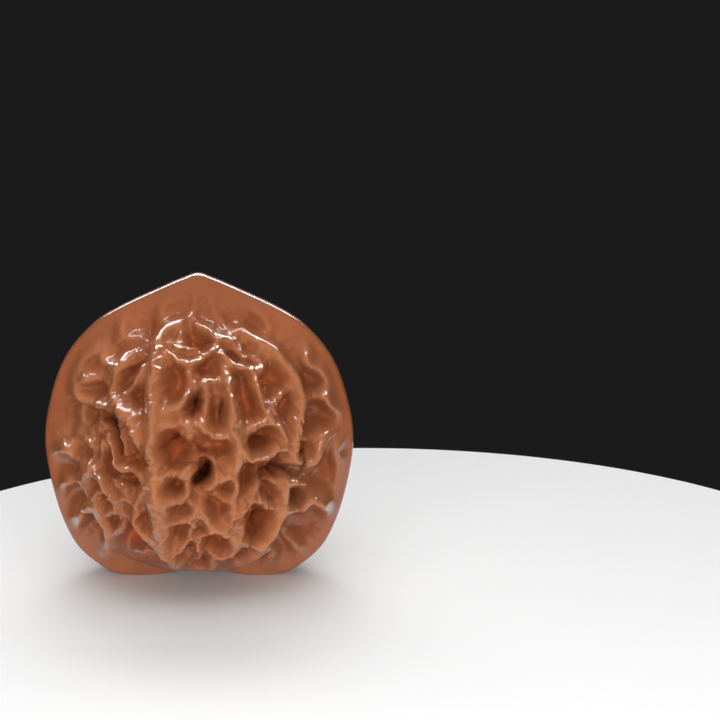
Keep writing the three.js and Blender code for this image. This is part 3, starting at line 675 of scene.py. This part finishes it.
def line_tree():
    """The relief so far with one more line in it."""
    tree, give, end = new_tree(
        "relief of one line",
        {"Line": "Geometry", "Place": "Vector", "Uphill": "Vector", "So far": "Vector", "Blend": "Float",
         "Cord": "Float"},
        {"Net": "Vector"},
    )
    near = add(tree, "GeometryNodeProximity", {"Geometry": give["Line"], "Sample Position": give["Place"]},
               target_element="EDGES").outputs
    point = add(tree, "GeometryNodeSampleNearest",
                {"Geometry": give["Line"], "Sample Position": near["Position"]}).outputs[0]
    kept = {}
    for label in LINE_VALUES:
        value = add(tree, "GeometryNodeInputNamedAttribute", {"Name": label},
                    data_type="FLOAT").outputs[0]
        kept[label] = add(tree, "GeometryNodeSampleIndex",
                          {"Geometry": give["Line"], "Value": value, "Index": point},
                          data_type="FLOAT").outputs[0]

    # the reach, by how far the place lies uphill of the line
    apart = add(tree, "ShaderNodeVectorMath", {0: give["Place"], 1: near["Position"]},
                operation="SUBTRACT").outputs[0]
    apart = add(tree, "ShaderNodeVectorMath", {0: apart}, operation="NORMALIZE").outputs[0]
    climb = add(tree, "ShaderNodeVectorMath", {0: apart, 1: give["Uphill"]},
                operation="DOT_PRODUCT").outputs["Value"]
    reach = add(tree, "ShaderNodeMapRange",
                {"Value": climb, "From Min": -LOPSIDED, "From Max": LOPSIDED, "To Min": kept["below"],
                 "To Max": kept["above"]}, interpolation_type="SMOOTHSTEP").outputs[0]

    # the flank: 1 on the line, 0 from the reach on, with a rounded top
    squared = add(tree, "ShaderNodeMath", {0: kept["round"], 1: kept["round"]},
                  operation="MULTIPLY").outputs[0]
    gap = add(tree, "ShaderNodeMath", {0: near["Distance"], 1: near["Distance"], 2: squared},
              operation="MULTIPLY_ADD").outputs[0]
    gap = add(tree, "ShaderNodeMath", {0: gap}, operation="SQRT").outputs[0]
    gap = add(tree, "ShaderNodeMath", {0: gap, 1: kept["round"]}, operation="SUBTRACT").outputs[0]
    gap = add(tree, "ShaderNodeMath", {0: gap, 1: reach}, operation="DIVIDE").outputs[0]
    flank = add(tree, "ShaderNodeMath", {0: 1.0, 1: gap}, operation="SUBTRACT", use_clamp=True).outputs[0]
    flank = add(tree, "ShaderNodeMath", {0: flank, 1: FLANK_POWER}, operation="POWER").outputs[0]

    # a crest with its cord, joined with the relief so far
    fall = add(tree, "ShaderNodeMath", {0: kept["rise"], 1: FLANK_FOOT * MM}, operation="ADD").outputs[0]
    crest = add(tree, "ShaderNodeMath", {0: flank, 1: fall, 2: -FLANK_FOOT * MM},
                operation="MULTIPLY_ADD").outputs[0]
    cord_width = add(tree, "ShaderNodeMath", {0: kept["round"], 1: CORD_WIDTH},
                     operation="MULTIPLY").outputs[0]
    cord_rise = add(tree, "ShaderNodeMath", {0: kept["rise"], 1: give["Cord"]},
                    operation="MULTIPLY").outputs[0]
    cord = add(tree, "ShaderNodeMapRange",
               {"Value": near["Distance"], "From Max": cord_width, "To Min": cord_rise, "To Max": 0.0},
               interpolation_type="SMOOTHSTEP").outputs[0]
    crest = add(tree, "ShaderNodeMath", {0: crest, 1: cord}, operation="ADD").outputs[0]
    so_far = add(tree, "ShaderNodeSeparateXYZ", {0: give["So far"]}).outputs
    crest = add(tree, "ShaderNodeMath", {0: so_far["X"], 1: crest, 2: give["Blend"]},
                operation="SMOOTH_MAX").outputs[0]

    # a hollow, where the rise is negative
    taken = add(tree, "ShaderNodeMath", {0: kept["rise"], 1: 0.0}, operation="MINIMUM").outputs[0]
    hollow = add(tree, "ShaderNodeMath", {0: flank, 1: taken, 2: so_far["X"]},
                 operation="MULTIPLY_ADD").outputs[0]
    sunk = add(tree, "ShaderNodeMath", {0: flank, 1: taken, 2: so_far["Y"]},
               operation="MULTIPLY_ADD").outputs[0]
    is_hollow = add(tree, "ShaderNodeMath", {0: kept["rise"], 1: 0.0}, operation="LESS_THAN").outputs[0]
    relief = add(tree, "ShaderNodeMix", {"Factor": is_hollow, 2: crest, 3: hollow},
                 data_type="FLOAT").outputs[0]
    net = add(tree, "ShaderNodeCombineXYZ", {"X": relief, "Y": sunk}).outputs[0]
    tree.links.new(net, end.inputs["Net"])
    return tree


one_line = line_tree()
print(one_line.name, "has", len(one_line.nodes), "nodes")

# %% [markdown]
# ## Crinkles and swells
# Between the drawn lines the shell is still alive: fine crinkles a couple of millimetres apart run over
# the belly, and the whole skin swells a little from place to place. The crinkles are the thin band where
# a noise crosses its middle value, which gives branching veins instead of round bumps.

# %% Tree of the skin
CRINKLE_SIZE = 1.9  # mm
CRINKLE_BAND = 0.16  # of the noise's range from 0 to 1
CRINKLE_ON_FLANGE = 0.3  # share that is left off the belly
SWELL_SIZE = 6.3  # mm
NOISE_MIDDLE = 0.5  # a noise runs from 0 to 1


def skin_tree():
    """The height of the crinkles and swells at a place."""
    tree, give, end = new_tree(
        "crinkles and swells",
        {"Crinkle": "Float", "Swell": "Float", "Seed": "Float"},
        {"Height": "Float"},
    )
    here = add(tree, "GeometryNodeInputPosition").outputs[0]
    fine = add(tree, "ShaderNodeTexNoise",
               {"Vector": here, "W": give["Seed"], "Scale": 1 / (CRINKLE_SIZE * MM), "Detail": 1.0},
               noise_dimensions="4D").outputs["Fac"]
    fine = add(tree, "ShaderNodeMath", {0: fine, 1: NOISE_MIDDLE}, operation="SUBTRACT").outputs[0]
    fine = add(tree, "ShaderNodeMath", {0: fine}, operation="ABSOLUTE").outputs[0]
    fine = add(tree, "ShaderNodeMapRange",
               {"Value": fine, "From Max": CRINKLE_BAND, "To Min": 1.0, "To Max": 0.0},
               interpolation_type="SMOOTHSTEP").outputs[0]
    valley = add(tree, "GeometryNodeInputNamedAttribute", {"Name": "valley"},
                 data_type="FLOAT").outputs[0]
    belly = add(tree, "ShaderNodeMapRange",
                {"Value": valley, "From Min": 0.0, "From Max": -VALLEY_DEPTH * MM,
                 "To Min": CRINKLE_ON_FLANGE}).outputs[0]
    fine = add(tree, "ShaderNodeMath", {0: fine, 1: belly}, operation="MULTIPLY").outputs[0]
    fine = add(tree, "ShaderNodeMath", {0: fine, 1: give["Crinkle"]}, operation="MULTIPLY").outputs[0]
    broad = add(tree, "ShaderNodeTexNoise",
                {"Vector": here, "W": give["Seed"], "Scale": 1 / (SWELL_SIZE * MM), "Detail": 1.0},
                noise_dimensions="4D").outputs["Fac"]
    broad = add(tree, "ShaderNodeMath", {0: broad, 1: NOISE_MIDDLE}, operation="SUBTRACT").outputs[0]
    height = add(tree, "ShaderNodeMath", {0: broad, 1: give["Swell"], 2: fine},
                 operation="MULTIPLY_ADD").outputs[0]
    tree.links.new(height, end.inputs["Height"])
    return tree


skin = skin_tree()
print(skin.name, "has", len(skin.nodes), "nodes")

# %% [markdown]
# ## The whole relief
# A repeat zone goes through the lines one by one and keeps the relief as an attribute of the skin's
# points. The places are shaken by a noise first, so that no crest runs as straight as it was drawn. Then
# the relief is blurred, gets its crinkles, fades at the rim and moves the points. What would end below
# the ground is set on it, which gives the nut its two flat feet.

# %% Tree of the walnut
WAVER_SIZE = 3.6  # mm
BLUR_ROUNDS = 6  # times that each point takes the mean of its neighbours


def walnut_tree():
    """The smooth shell with all its lines, crinkles and swells."""
    tree, give, end = new_tree(
        "walnut shell",
        {"Shell": "Geometry", "Lines": "Object", "Line count": "Int", "Blend": "Float", "Cord": "Float",
         "Waver": "Float", "Crinkle": "Float", "Swell": "Float", "Lean": "Float", "Droop": "Float",
         "Seed": "Float", "Material": "Material"},
        {"Nut": "Geometry"},
    )
    lines = add(tree, "GeometryNodeObjectInfo", {"Object": give["Lines"]}).outputs["Geometry"]
    here = add(tree, "GeometryNodeInputPosition").outputs[0]
    noise = add(tree, "ShaderNodeTexNoise",
                {"Vector": here, "W": give["Seed"], "Scale": 1 / (WAVER_SIZE * MM), "Detail": 1.0},
                noise_dimensions="4D").outputs["Color"]
    shake = add(tree, "ShaderNodeVectorMath", {0: noise, 1: (NOISE_MIDDLE,) * 3},
                operation="SUBTRACT").outputs[0]
    shake = add(tree, "ShaderNodeVectorMath", {0: shake, "Scale": give["Waver"]},
                operation="SCALE").outputs[0]
    place = add(tree, "ShaderNodeVectorMath", {0: here, 1: shake}, operation="ADD").outputs[0]

    # uphill is towards the seam and the point, on both bellies
    side = add(tree, "ShaderNodeSeparateXYZ", {0: here}).outputs["Y"]
    side = add(tree, "ShaderNodeMath", {0: side}, operation="SIGN").outputs[0]
    inward = add(tree, "ShaderNodeMath", {0: side, 1: -UPHILL[0]}, operation="MULTIPLY").outputs[0]
    uphill = add(tree, "ShaderNodeCombineXYZ", {"Y": inward, "Z": UPHILL[1]}).outputs[0]

    # the lines, one after the other
    valley = add(tree, "GeometryNodeInputNamedAttribute", {"Name": "valley"},
                 data_type="FLOAT").outputs[0]
    ground = add(tree, "ShaderNodeCombineXYZ", {"X": valley}).outputs[0]
    start = add(tree, "GeometryNodeStoreNamedAttribute",
                {"Geometry": give["Shell"], "Name": "net", "Value": ground},
                data_type="FLOAT_VECTOR", domain="POINT").outputs[0]
    loop = add(tree, "GeometryNodeRepeatInput")
    done = add(tree, "GeometryNodeRepeatOutput")
    loop.pair_with_output(done)
    tree.links.new(give["Line count"], loop.inputs["Iterations"])
    tree.links.new(start, loop.inputs["Geometry"])
    number = add(tree, "GeometryNodeInputNamedAttribute", {"Name": "line"}, data_type="INT").outputs[0]
    same = add(tree, "FunctionNodeCompare", {2: number, 3: loop.outputs["Iteration"]},
               data_type="INT", operation="EQUAL").outputs[0]
    line = add(tree, "GeometryNodeSeparateGeometry", {"Geometry": lines, "Selection": same}).outputs[0]
    net = add(tree, "GeometryNodeInputNamedAttribute", {"Name": "net"},
              data_type="FLOAT_VECTOR").outputs[0]
    raised = add(tree, "GeometryNodeGroup", node_tree=one_line)
    for label, value in (("Line", line), ("Place", place), ("Uphill", uphill), ("So far", net),
                         ("Blend", give["Blend"]), ("Cord", give["Cord"])):
        tree.links.new(value, raised.inputs[label])
    kept = add(tree, "GeometryNodeStoreNamedAttribute",
               {"Geometry": loop.outputs["Geometry"], "Name": "net", "Value": raised.outputs["Net"]},
               data_type="FLOAT_VECTOR", domain="POINT").outputs[0]
    tree.links.new(kept, done.inputs["Geometry"])

    # blur, crinkles and the fade at the rim
    parts = add(tree, "ShaderNodeSeparateXYZ", {0: net}).outputs
    soft = add(tree, "GeometryNodeBlurAttribute",
               {"Value": parts["X"], "Iterations": BLUR_ROUNDS}).outputs[0]
    crinkles = add(tree, "GeometryNodeGroup", node_tree=skin)
    for label in ("Crinkle", "Swell", "Seed"):
        tree.links.new(give[label], crinkles.inputs[label])
    height = add(tree, "ShaderNodeMath", {0: soft, 1: crinkles.outputs["Height"]},
                 operation="ADD").outputs[0]
    fade = add(tree, "GeometryNodeInputNamedAttribute", {"Name": "rim_fade"},
               data_type="FLOAT").outputs[0]
    height = add(tree, "ShaderNodeMath", {0: height, 1: fade}, operation="MULTIPLY").outputs[0]
    nut = done.outputs["Geometry"]
    for label, value in (("relief", height), ("sunk", parts["Y"])):
        nut = add(tree, "GeometryNodeStoreNamedAttribute",
                  {"Geometry": nut, "Name": label, "Value": value},
                  data_type="FLOAT", domain="POINT").outputs[0]

    # the move: outwards, leaned towards the eye and drooping
    across = add(tree, "ShaderNodeMath", {0: side, 1: sight.y}, operation="MULTIPLY").outputs[0]
    eye = add(tree, "ShaderNodeCombineXYZ", {"Y": across, "Z": -sight.z}).outputs[0]
    lean = add(tree, "ShaderNodeVectorMath", {0: eye, "Scale": give["Lean"]},
               operation="SCALE").outputs[0]
    normal = add(tree, "GeometryNodeInputNormal").outputs[0]
    way = add(tree, "ShaderNodeVectorMath", {0: normal, 1: lean}, operation="ADD").outputs[0]
    way = add(tree, "ShaderNodeVectorMath", {0: way}, operation="NORMALIZE").outputs[0]
    hang = add(tree, "ShaderNodeVectorMath", {0: uphill, "Scale": give["Droop"]},
               operation="SCALE").outputs[0]
    way = add(tree, "ShaderNodeVectorMath", {0: way, 1: hang}, operation="SUBTRACT").outputs[0]
    relief = add(tree, "GeometryNodeInputNamedAttribute", {"Name": "relief"},
                 data_type="FLOAT").outputs[0]
    push = add(tree, "ShaderNodeVectorMath", {0: way, "Scale": relief}, operation="SCALE").outputs[0]
    nut = add(tree, "GeometryNodeSetPosition", {"Geometry": nut, "Offset": push}).outputs[0]

    # the flat feet
    spot = add(tree, "ShaderNodeSeparateXYZ", {0: here}).outputs
    level = add(tree, "ShaderNodeMath", {0: spot["Z"], 1: 0.0}, operation="MAXIMUM").outputs[0]
    spot = add(tree, "ShaderNodeCombineXYZ", {"X": spot["X"], "Y": spot["Y"], "Z": level}).outputs[0]
    nut = add(tree, "GeometryNodeSetPosition", {"Geometry": nut, "Position": spot}).outputs[0]
    nut = add(tree, "GeometryNodeRealizeInstances", {"Geometry": nut}).outputs[0]
    nut = add(tree, "GeometryNodeSetMaterial", {"Geometry": nut, "Material": give["Material"]}).outputs[0]
    tree.links.new(nut, end.inputs["Nut"])
    return tree


relief_tree = walnut_tree()
print(relief_tree.name, "has", len(relief_tree.nodes), "nodes")

# %% [markdown]
# ## Polished nut shell
# The shell is hard wood, red-brown, and skin oil and years of rubbing have given it a clear waxy gloss.
# The crests take the most rubbing and are the palest, and the flange is plainer and browner. The
# ground of the bowls is a warm orange brown, lightened further as painted light against the shade that
# falls in them. The deepest places and the holes under the lips are painted dark, which is painted
# shade. All of that follows from the relief, so the colour reads the attributes that the tree stored.
# The wax is the shader's coat, which mirrors the lamps on top of the wood's own softer shine.

# %% Material
RELIEF_LOW, RELIEF_HIGH = -6.5, 2.5  # mm, ends of the colour ramp
BOWL_STOP, FLANGE_STOP = 0.3, 0.65  # places on the ramp
# The darkest colour is painted shade for the deepest places; the bowl colour is orange brown made lighter
# as painted light.
DEEP_PAINTED_SHADE, BOWL_WOOD_AND_PAINTED_LIGHT, FLANGE_WOOD, CREST_WOOD = "#4A1C0C", "#C0683C", "#86492C", "#9F6340"
# painted shade: the dark colour of the holes under the lips
HOLE_PAINTED_SHADE = "#36170E"
PAINTED_SHADE_FROM, PAINTED_SHADE_FULL = -1.6, -4.0  # mm taken off where the painted shade begins and where it covers the wood
MOTTLE_SIZE = 6.0  # mm
MOTTLE_LOW, MOTTLE_HIGH = 0.92, 1.08  # darkest and brightest patches
NOISE_LOW, NOISE_HIGH = 0.35, 0.65  # values between which most of a noise lies
GRAIN_SIZE = 0.7  # mm
GRAIN_DEPTH = 0.15  # mm
GRAIN_STRENGTH = 0.25  # share of that depth that the light sees
ROUGH_LOW, ROUGH_HIGH = 0.45, 0.28  # in the bowls and on the crests


def linear(code):
    """A colour in sRGB hex as the linear values that the shader takes."""
    parts = [int(code[i : i + 2], 16) / 255 for i in (1, 3, 5)]
    return [*[c / 12.92 if c <= 0.04045 else ((c + 0.055) / 1.055) ** 2.4 for c in parts], 1]


shell_wood = bpy.data.materials.new("polished_walnut_shell")
shell_wood.use_nodes = True
tree = shell_wood.node_tree
shader = tree.nodes["Principled BSDF"]
place = add(tree, "ShaderNodeTexCoord").outputs["Object"]
height = add(tree, "ShaderNodeAttribute", attribute_name="relief").outputs["Fac"]
height = add(tree, "ShaderNodeMapRange",
             {"Value": height, "From Min": RELIEF_LOW * MM, "From Max": RELIEF_HIGH * MM}).outputs[0]
ramp = add(tree, "ShaderNodeValToRGB", {0: height})
stops = ramp.color_ramp.elements
stops[0].color, stops[1].color = linear(DEEP_PAINTED_SHADE), linear(CREST_WOOD)
# the bowls' own orange brown, made lighter as painted light against the shade in them
stops.new(BOWL_STOP).color = linear(BOWL_WOOD_AND_PAINTED_LIGHT)
stops.new(FLANGE_STOP).color = linear(FLANGE_WOOD)
patches = add(tree, "ShaderNodeTexNoise",
              {"Vector": place, "Scale": 1 / (MOTTLE_SIZE * MM), "Detail": 3.0}).outputs["Fac"]
patches = add(tree, "ShaderNodeMapRange",
              {"Value": patches, "From Min": NOISE_LOW, "From Max": NOISE_HIGH,
               "To Min": MOTTLE_LOW, "To Max": MOTTLE_HIGH}).outputs[0]
wood = add(tree, "ShaderNodeHueSaturation", {"Color": ramp.outputs[0], "Value": patches}).outputs[0]
# Painted shade: the deeper a hollow was cut, the more its wood is covered by a dark colour.
hole_shade = add(tree, "ShaderNodeAttribute", attribute_name="sunk").outputs["Fac"]
hole_shade = add(tree, "ShaderNodeMapRange",
           {"Value": hole_shade, "From Min": PAINTED_SHADE_FROM * MM, "From Max": PAINTED_SHADE_FULL * MM},
           interpolation_type="SMOOTHSTEP").outputs[0]
wood_and_shade = add(tree, "ShaderNodeMix", {"Factor": hole_shade, 6: wood, 7: linear(HOLE_PAINTED_SHADE)},
              data_type="RGBA").outputs[2]
tree.links.new(wood_and_shade, shader.inputs["Base Color"])
rough = add(tree, "ShaderNodeMapRange",
            {"Value": height, "To Min": ROUGH_LOW, "To Max": ROUGH_HIGH}).outputs[0]
tree.links.new(rough, shader.inputs["Roughness"])
grain = add(tree, "ShaderNodeTexNoise",
            {"Vector": place, "Scale": 1 / (GRAIN_SIZE * MM), "Detail": 3.0}).outputs["Fac"]
bump = add(tree, "ShaderNodeBump",
           {"Height": grain, "Strength": GRAIN_STRENGTH, "Distance": GRAIN_DEPTH * MM}).outputs[0]
tree.links.new(bump, shader.inputs["Normal"])
for label, value in (
    ("Subsurface Weight", 0.08), ("Subsurface Radius", (1.0, 0.4, 0.2)), ("Subsurface Scale", 1.5 * MM),
    ("Specular IOR Level", 0.4), ("Coat Weight", 0.9), ("Coat Roughness", 0.06),
):
    shader.inputs[label].default_value = value
print(shell_wood.name, "has", len(tree.nodes), "nodes")

# %% [markdown]
# ## The walnut
# The tree now runs on the smooth shell. Its inputs are set by their sockets' identifiers before the
# object is evaluated for the first time. The result is copied out as a plain mesh and the modifier goes,
# because the finished piece must hold its own shape.

# %% Raise the relief
BLEND = 0.8  # mm over which two crests run into each other
WAVER = 0.9  # mm, width of the band in which lines are shaken
CRINKLE = 0.5  # mm, height of a crinkle
SWELL = 2.4  # mm between the lowest and the highest swell
SEED = 3.0  # one of many equally good nuts

walnut = bpy.data.objects.new("walnut_shell", shell_mesh)
bpy.context.scene.collection.objects.link(walnut)
modifier = walnut.modifiers.new("relief", "NODES")
modifier.node_group = relief_tree
socket = {s.name: s.identifier for s in relief_tree.interface.items_tree if s.in_out == "INPUT"}
for label, value in (
    ("Lines", crest_lines), ("Line count", len(lines)), ("Blend", BLEND * MM), ("Cord", CORD),
    ("Waver", WAVER * MM), ("Crinkle", CRINKLE * MM), ("Swell", SWELL * MM), ("Lean", LEAN),
    ("Droop", DROOP), ("Seed", SEED), ("Material", shell_wood),
):
    modifier[socket[label]] = value
raised = walnut.evaluated_get(bpy.context.evaluated_depsgraph_get())
walnut.data = bpy.data.meshes.new_from_object(raised)
walnut.modifiers.clear()
walnut.data.name = walnut.name
for label in ("net", "valley", "rim_fade"):
    walnut.data.attributes.remove(walnut.data.attributes[label])
bpy.data.objects.remove(crest_lines)
print("walnut in mm:", [round(side / MM, 1) for side in walnut.dimensions])
print(len(walnut.data.polygons), "triangles")

# %% [markdown]
# ## Floor and air
# The nut stands on a plain pale round floor in a dark, empty room, so its gloss shows only the lamps and
# the floor. The floor is part of the stage, not of the nut.

# %% Stage
FLOOR_RADIUS = 75  # mm
FLOOR_CORNERS = 256
FLOOR_GAP = 0.1  # mm below the feet, so that no two faces lie in one plane
FLOOR_MIDDLE = 23, -12  # mm, right of the nut and in front of it
FLOOR_ROUGH = 0.5
FLOOR_GREY, AIR_GREY = "#DEDEDE", "#1B1B1C"

bpy.ops.mesh.primitive_circle_add(
    vertices=FLOOR_CORNERS, radius=FLOOR_RADIUS * MM, fill_type="NGON",
    location=Vector((*FLOOR_MIDDLE, -FLOOR_GAP)) * MM,
)
floor = bpy.context.object
floor.name = "floor"
pale = bpy.data.materials.new("pale_lacquer")
pale.use_nodes = True
lacquer = pale.node_tree.nodes["Principled BSDF"].inputs
lacquer["Base Color"].default_value = linear(FLOOR_GREY)
lacquer["Roughness"].default_value = FLOOR_ROUGH
floor.data.materials.append(pale)

air = bpy.data.worlds.new("studio")
air.use_nodes = True
air.node_tree.nodes["Background"].inputs["Color"].default_value = linear(AIR_GREY)
bpy.context.scene.world = air
bpy.context.scene.view_settings.view_transform = "Standard"
print("floor", 2 * FLOOR_RADIUS, "mm across")

# %% [markdown]
# ## Soft light
# A wide ceiling, two wide lamps in front and one behind light the nut evenly, down into the bowls and
# under the belly. They stay out of the reflections, because a polished shell that mirrors a wide lamp
# looks grey. A long lamp behind puts white glints on the shoulder's crests and a bright line on the rim,
# and a weaker one higher up gives the lower crests their sheen. A studio screens such lamps off with
# flags, so that they cast no shadow forwards, and here they reach reflections only.

# %% Lamps
MIDDLE, FOOT = (0, 0, 20), (0, 0, 10)  # mm, where lamps are aimed


def softbox(name, place, target, size, watts):
    """A rectangular lamp, with its place, target and size in mm."""
    light = bpy.data.lights.new(name, "AREA")
    light.shape = "RECTANGLE"
    light.size, light.size_y = size[0] * MM, size[1] * MM
    light.energy = watts
    lamp = bpy.data.objects.new(name, light)
    lamp.location = Vector(place) * MM
    lamp.rotation_euler = (Vector(target) - Vector(place)).to_track_quat("-Z", "Y").to_euler()
    bpy.context.scene.collection.objects.link(lamp)
    return lamp


softbox("ceiling", (0, -60, 450), MIDDLE, (600, 500), 1.7).visible_glossy = False
softbox("glint", (0, 240, 270), MIDDLE, (460, 110), 2.6).visible_diffuse = False
softbox("sheen", (0, 110, 400), MIDDLE, (220, 80), 0.5).visible_diffuse = False
softbox("front", (0, -720, 330), MIDDLE, (1000, 700), 2.0).visible_glossy = False
softbox("card", (0, -420, 80), FOOT, (600, 150), 2.1).visible_glossy = False
softbox("rear", (0, 720, 330), MIDDLE, (1000, 700), 4.0).visible_glossy = False
print(len(bpy.data.lights), "lamps")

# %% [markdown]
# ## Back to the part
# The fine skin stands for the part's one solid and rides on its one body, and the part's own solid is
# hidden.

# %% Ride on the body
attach(walnut, "root")
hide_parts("walnut")
